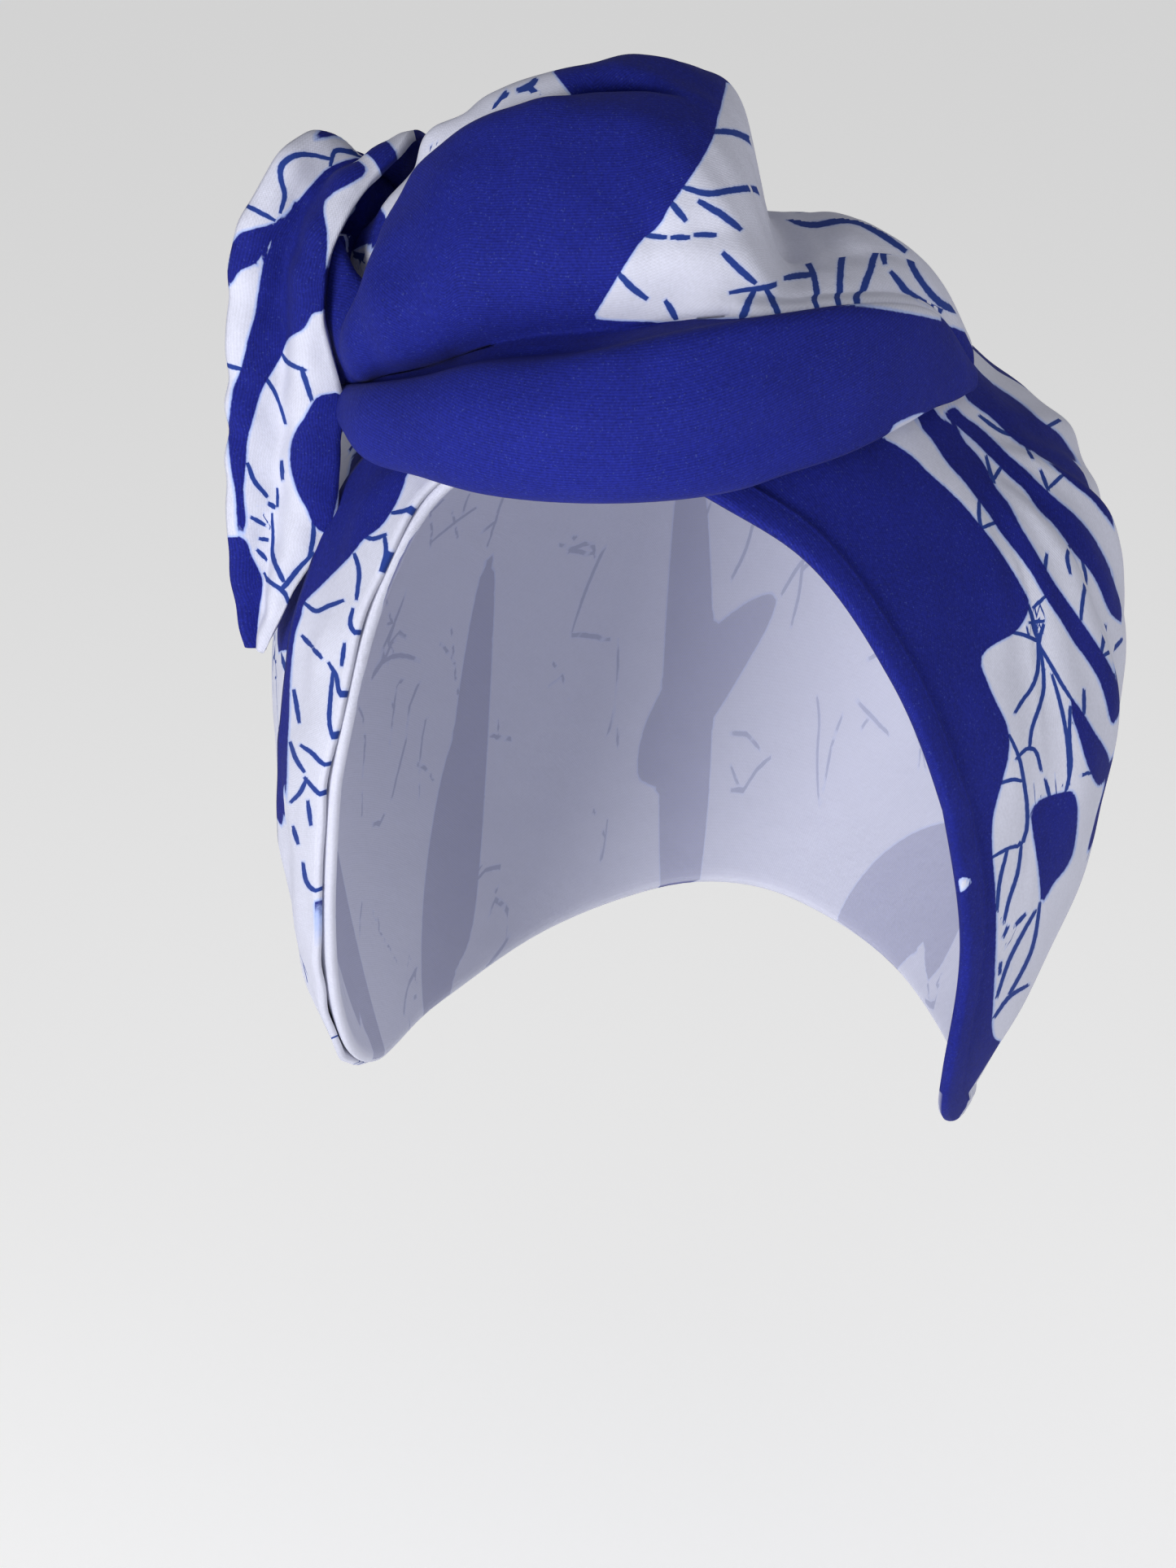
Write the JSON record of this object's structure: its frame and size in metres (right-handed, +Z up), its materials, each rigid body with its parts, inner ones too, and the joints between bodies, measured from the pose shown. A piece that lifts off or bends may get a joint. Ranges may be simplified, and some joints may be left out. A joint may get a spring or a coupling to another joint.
{
  "type": "turban",
  "caption": "Soft cloth turban: a hollow printed cap with a hemmed open front, a side band, a large twisted bow over the forehead and one hanging tail.",
  "frame": {"origin": "inside of the crown, at the top of the hollow, where the crown of a head sits", "axes": "+Z up, -Y the way the face looks out of the open front, +X to the wearer's left"},
  "size_m": [0.1731, 0.1933, 0.227],
  "materials": {
    "cotton_print": "matt woven cotton, lavender white with royal blue patches and thin branching lines",
    "cotton_blue": "matt woven cotton, mostly royal blue with a lavender white part"
  },
  "bodies": {
    "root": {"cap": "cotton_print", "side_band": "cotton_print", "bow": "cotton_blue", "tail": "cotton_print", "knot": "cotton_print"}
  },
  "joints": []
}
